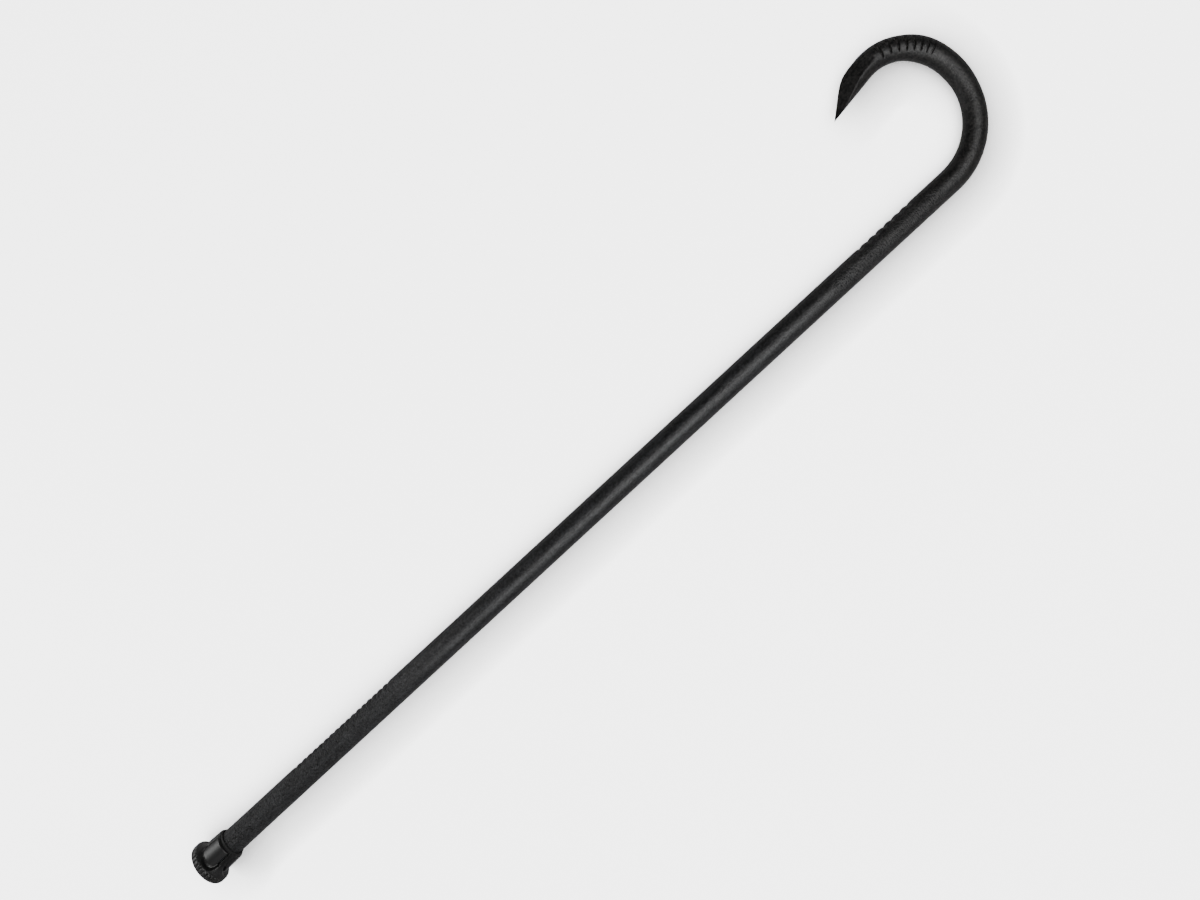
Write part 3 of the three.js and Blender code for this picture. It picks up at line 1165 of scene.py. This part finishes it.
@dataclass
class Ferrule:
    """The rubber foot: a knurled flange, a scooped shoulder, three raised pads and a low collar.

    The outlines are heights and radii in millimetres.
    """

    tread_edge: tuple[tuple[float, float], ...] = ((0.0, 17.9), (0.1, 18.5), (0.45, 18.95))
    outline: tuple[tuple[float, float], ...] = (
        (1.2, 19.2), (4.9, 19.2), (5.6, 18.95), (6.3, 18.3), (7.2, 17.3), (8.4, 16.2), (10.2, 15.0),
        (12.4, 14.0), (15.5, 13.35), (20.0, 13.0), (25.0, 12.75), (27.1, 12.7), (27.35, 12.55))
    collar: tuple[tuple[float, float], ...] = (
        (27.4, 12.1), (27.5, 11.8), (27.7, 11.75), (29.7, 12.25), (29.95, 12.25), (30.0, 12.15))
    mouth: tuple[tuple[float, float], ...] = (
        (29.9, 12.05), (28.9, 11.5), (28.5, 11.4), (20.0, 11.4), (12.0, 11.4), (7.0, 11.4),
        (7.0, 6.0))
    outline_step: float = 0.26
    tread_rings: tuple[float, ...] = (15.4, 11.6, 7.8)
    groove_width: float = 1.6
    groove_depth: float = 1.2
    groove_edge_width: float = 0.2
    groove_edge_depth: float = 0.25
    sides: int = 288
    pad_count: int = 3
    pad_angle: float = 21.5
    pad_half_turn: float = 38
    pad_lower_end: float = 9.4 * MM
    pad_upper_end: float = 27.2 * MM
    pad_corner: float = 5.2 * MM
    pad_radius_low: float = 14.5 * MM
    pad_radius_high: float = 13.8 * MM
    pad_crown: float = 0.4 * MM
    pad_edge_outside: float = 0.1 * MM
    pad_edge_inside: float = 0.6 * MM
    rim_outside: float = 0.1 * MM
    rim_inside: float = 0.5 * MM
    low_end_shares: tuple[float, float] = (0.7, 1.3)
    crevice_depth: float = 2.2 * MM
    crevice_width: float = 1.7 * MM
    crevice_full_width: float = 0.3 * MM
    crevice_place: float = 1.3 * MM
    gutter_place: float = 0.55 * MM
    gutter_width: float = 0.6 * MM
    gutter_depth: float = 0.5 * MM
    ridge_place: float = 1.5 * MM
    ridge_height: float = 0.85 * MM
    ridge_width: float = 0.6 * MM
    ridge_full_width: float = 0.1 * MM
    ridge_start: float = 9.0 * MM
    ridge_full: float = 11.9 * MM
    knurl_count: int = 30
    knurl_depth: float = 1.3 * MM
    knurl_shares: tuple[float, float] = (0.2, 0.9)
    knurl_low: float = 1.4 * MM
    knurl_high: float = 5.4 * MM
    knurl_fade: float = 0.8 * MM

    def rings(self) -> list[Ring]:
        """The rings of the ferrule's outline, from the tread's middle round to the socket's floor.

        Returns:
            The rings, with the relief's share in each.
        """
        half, edge = self.groove_width / 2, self.groove_edge_width
        groove = ((-half - edge, 0.0), (-half, self.groove_edge_depth),
                  (-half / 2, self.groove_depth), (half / 2, self.groove_depth),
                  (half, self.groove_edge_depth), (half + edge, 0.0))
        tread = [(deep, middle + across)
                 for middle in sorted(self.tread_rings) for across, deep in groove]
        side: list[tuple[float, float]] = []
        for (low, inner), (high, outer) in zip(self.outline, self.outline[1:]):
            step = self.outline_step / math.hypot(high - low, outer - inner)
            side += [(low + (high - low) * share, inner + (outer - inner) * share)
                     for share in spread(0, 1, step)]
        parts = ((tread, 0.0), (self.tread_edge, 0.0), (side, 1.0), (self.collar, 0.0),
                 (self.mouth, 0.0))
        return [
            Ring({"height": 0.0, "radius": 0.0, "skin": 0.0}, pole=True),
            *(Ring({"height": height * MM, "radius": radius * MM, "skin": skin})
              for outline, skin in parts for height, radius in outline),
            Ring({"height": self.mouth[-1][0] * MM, "radius": 0.0, "skin": 0.0}, pole=True),
        ]

    def tree(self, finish: bpy.types.Material) -> Shaper:
        """Builds the Geometry Nodes tree that turns the outline and raises its relief.

        Args:
            finish: the ferrule's material.

        Returns:
            The tree.
        """
        shaper = Shaper("ferrule_shape", {
            "Pad Crown": self.pad_crown,
            "Pad Half Turn": math.radians(self.pad_half_turn),
            "Pad Lower End": self.pad_lower_end,
            "Crevice Depth": self.crevice_depth,
            "Knurl Depth": self.knurl_depth,
            "Knurl Count": float(self.knurl_count),
        })
        height, radius = shaper.stored("height"), shaper.stored("radius")
        skin, around = shaper.stored("skin"), shaper.stored("around")
        relief, glossy = self.pads(shaper, height, radius, around)
        knurl_turn = (around * shaper.size("Knurl Count")).cosine()
        on_flange = height.within(self.knurl_low, self.knurl_high, self.knurl_fade)
        knurl = knurl_turn.eased(*self.knurl_shares) * on_flange
        out = radius + (relief - knurl * shaper.size("Knurl Depth")) * skin
        shaper.store(PAD_SHARE, glossy * skin)
        shaper.close(height, out * around.sine(), out * around.cosine(), finish)
        return shaper

    def pads(self, shaper: Shaper, height: Field, radius: Field,
             around: Field) -> tuple[Field, Field]:
        """The raised pads, with a crevice round each one's lower end and a ridge along its sides.

        Args:
            shaper: the tree.
            height: the height above the tread.
            radius: the outline's radius.
            around: the angle from +Z.

        Returns:
            How far the pads and ridges stand out, and the share of the surface that is glossy.
        """
        pitch = 2 * math.pi / self.pad_count
        turned = (around - math.radians(self.pad_angle)).wrapped(pitch / 2, -pitch / 2)
        arc = turned * radius
        half = shaper.size("Pad Half Turn") * radius
        lower, corner = shaper.size("Pad Lower End"), self.pad_corner
        past_side = arc.size() - half + corner
        past_end = lower + corner - height
        side, down = past_side.most(0.0), past_end.most(0.0)
        inside = past_side.most(past_end).least(0.0)
        edge = (side * side + down * down).root() + inside - corner
        below_rim = height.eased(
            self.pad_upper_end + self.rim_outside, self.pad_upper_end - self.rim_inside)
        raised = edge.eased(self.pad_edge_outside, -self.pad_edge_inside) * below_rim
        crown = (1.0 - (arc / half) * (arc / half)) * shaper.size("Pad Crown")
        slope = ((self.pad_radius_high - self.pad_radius_low)
                 / (self.pad_upper_end - self.pad_lower_end))
        pad = raised * ((height - lower) * slope + self.pad_radius_low + crown - radius)

        full_share, end_share = self.low_end_shares
        low_end = height.eased(
            self.pad_lower_end + corner * end_share, self.pad_lower_end + corner * full_share)
        crevice = (edge - self.crevice_place).size().eased(
            self.crevice_width, self.crevice_full_width) * low_end
        along_side = 1.0 - low_end
        gutter = (edge - self.gutter_place).size().eased(self.gutter_width, 0.0) * along_side
        ridge = (edge - self.ridge_place).size().eased(self.ridge_width, self.ridge_full_width)
        ridge = ridge * height.eased(self.ridge_start, self.ridge_full) * along_side * below_rim
        relief = (pad + ridge * self.ridge_height - gutter * self.gutter_depth * below_rim
                  - crevice * shaper.size("Crevice Depth"))
        return relief, raised.most(ridge)

    def build(self, finish: bpy.types.Material) -> bpy.types.Object:
        """Builds the ferrule and puts it in the place of its CAD node.

        Args:
            finish: the ferrule's material.

        Returns:
            The finished piece.
        """
        sheet = lay_sheet("ferrule_look", self.rings(), self.sides, -2 * math.pi)
        piece = self.tree(finish).bake(sheet, finish)
        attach(piece, Body.FOOT.value)
        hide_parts("ferrule")
        return piece


@dataclass
class HiddenMetal:
    """The rod and the washer inside, which keep their CAD meshes and get their steel."""

    nodes: tuple[str, ...] = ("core_rod", "ferrule_washer")

    def dress(self, finish: bpy.types.Material) -> list[bpy.types.Object]:
        """Gives each node its steel.

        Args:
            finish: the steel's material.

        Returns:
            The dressed nodes.
        """
        dressed = []
        for name in self.nodes:
            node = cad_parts[name]
            if not node.data.materials:
                node.data.materials.append(finish)
            for place in node.material_slots:
                place.material = finish
            dressed.append(node)
        return dressed


@dataclass(frozen=True)
class SoftLamp:
    """One rectangular lamp, aimed at a place on the floor."""

    name: str
    place: Place
    target: Place
    width: float
    length: float
    power: float

    def build(self) -> bpy.types.Object:
        """Builds the lamp.

        Returns:
            The lamp's object.
        """
        data = bpy.data.lights.new(self.name, "AREA")
        data.shape = "RECTANGLE"
        data.size, data.size_y = self.width, self.length
        data.energy = self.power
        lamp = into_scene(self.name, data)
        lamp.location = self.place
        aim = Vector(self.target) - Vector(self.place)
        lamp.rotation_euler = aim.to_track_quat("-Z", "Y").to_euler()
        return lamp


@dataclass
class Studio:
    """The floor, the lamps and the camera of the photograph."""

    flange_radius: float = 19.2 * MM
    flange_place: float = 3 * MM
    crook_radius: float = 11.93 * MM
    crook_place: float = 938 * MM
    floor_half: float = 6.0
    floor_gap: float = 0.1 * MM
    picture_turn: float = math.radians(42.649)
    eye: Place = (0.5744, 0.0916, 0.908)
    lean_right: float = math.radians(-0.332)
    lean_down: float = math.radians(-0.430)
    lens: float = 31.02
    sensor_width: float = 36
    shift: tuple[float, float] = (-0.0109, -0.0950)
    overhead_light: float = 0.07
    horizon_light: float = 0.18
    horizon_height: float = 0.55
    backdrop_light: float = 3.6
    soft_lamps: tuple[SoftLamp, ...] = (
        SoftLamp("key_lamp", (0.38, -0.44, 1.20), (0.38, 0, 0), 1.00, 0.72, 22),
        SoftLamp("handle_lamp", (1.16, -0.16, 1.20), (0.88, 0.05, 0), 0.50, 0.50, 9),
        SoftLamp("foot_lamp", (-0.30, 0.50, 0.23), (0.04, 0, 0), 0.34, 0.34, 4.4),
        SoftLamp("side_lamp", (0.74, -1.20, 0.34), (0.74, 0, 0), 1.20, 0.40, 1.5),
    )

    def floor(self, finish: bpy.types.Material) -> bpy.types.Object:
        """Lays the floor under the flange and the crook, which both rest on it.

        Args:
            finish: the floor's material.

        Returns:
            The floor.
        """
        rise = (self.flange_radius - self.crook_radius) / (self.crook_place - self.flange_place)
        level = -self.flange_radius - self.floor_gap
        half = self.floor_half
        corners = [(x, y, level + (x - self.flange_place) * rise)
                   for x, y in ((-half, -half), (half, -half), (half, half), (-half, half))]
        mesh = bpy.data.meshes.new("floor")
        mesh.from_pydata(corners, [], [(0, 1, 2, 3)])
        mesh.materials.append(finish)
        floor = into_scene("floor", mesh)
        return floor

    def lamps(self) -> list[bpy.types.Object]:
        """Builds the soft lamps and gives them."""
        return [lamp.build() for lamp in self.soft_lamps]

    def sky(self) -> bpy.types.World:
        """Makes the even light all round.

        Returns:
            The world.
        """
        world = bpy.data.worlds.new("studio_air")
        world.use_nodes = True
        tree = world.node_tree
        background = next(n for n in tree.nodes if n.type == "BACKGROUND")
        background.inputs["Color"].default_value = (1, 1, 1, 1)
        apart = tree.nodes.new("ShaderNodeSeparateXYZ")
        tree.links.new(tree.nodes.new("ShaderNodeTexCoord").outputs["Generated"], apart.inputs[0])
        low = Field(tree, apart.outputs["Z"]).eased(self.horizon_height, 0.0)
        strength = low * (self.horizon_light - self.overhead_light) + self.overhead_light
        seen = Field(tree, tree.nodes.new("ShaderNodeLightPath").outputs["Is Camera Ray"])
        strength = strength + seen * (self.backdrop_light - strength)
        tree.links.new(strength.socket, background.inputs["Strength"])
        bpy.context.scene.world = world
        return world

    def camera(self) -> bpy.types.Object:
        """Sets the camera at the photograph's place, above the cane.

        Returns:
            The camera.
        """
        data = bpy.data.cameras.new("camera")
        data.sensor_width = self.sensor_width
        data.lens = self.lens
        data.shift_x, data.shift_y = self.shift
        camera = into_scene("camera", data)
        turn = self.picture_turn
        across = Vector((math.cos(turn), -math.sin(turn), 0))
        up = Vector((math.sin(turn), math.cos(turn), 0))
        forward = (Vector((0, 0, -1)) + across * math.sin(self.lean_right)
                   - up * math.sin(self.lean_down)).normalized()
        back = -forward
        right = (across - back * across.dot(back)).normalized()
        facing = Matrix((right, back.cross(right), back)).transposed()
        camera.matrix_world = Matrix.Translation(self.eye) @ facing.to_4x4()
        bpy.context.scene.camera = camera
        return camera


def report(pieces: Iterable[bpy.types.Object]) -> None:
    """Writes each piece's name and face count to the log.

    Args:
        pieces: the finished pieces.
    """
    for piece in pieces:
        LOG.info("%s: %d faces", piece.name, len(piece.data.polygons))


def main() -> None:
    """Builds the cane's pieces, the studio and the camera in order."""
    logging.basicConfig(level=logging.INFO, format="%(name)s %(message)s")
    studio = Studio()
    studio.camera()
    report([CaneBody().build(MouldedPolymer().material())])
    report([Ferrule().build(FerruleRubber().material())])
    report(HiddenMetal().dress(DrawnSteel().material()))
    report([studio.floor(PaleFloor().material())])
    studio.lamps()
    studio.sky()


if __name__ == "__main__":
    main()
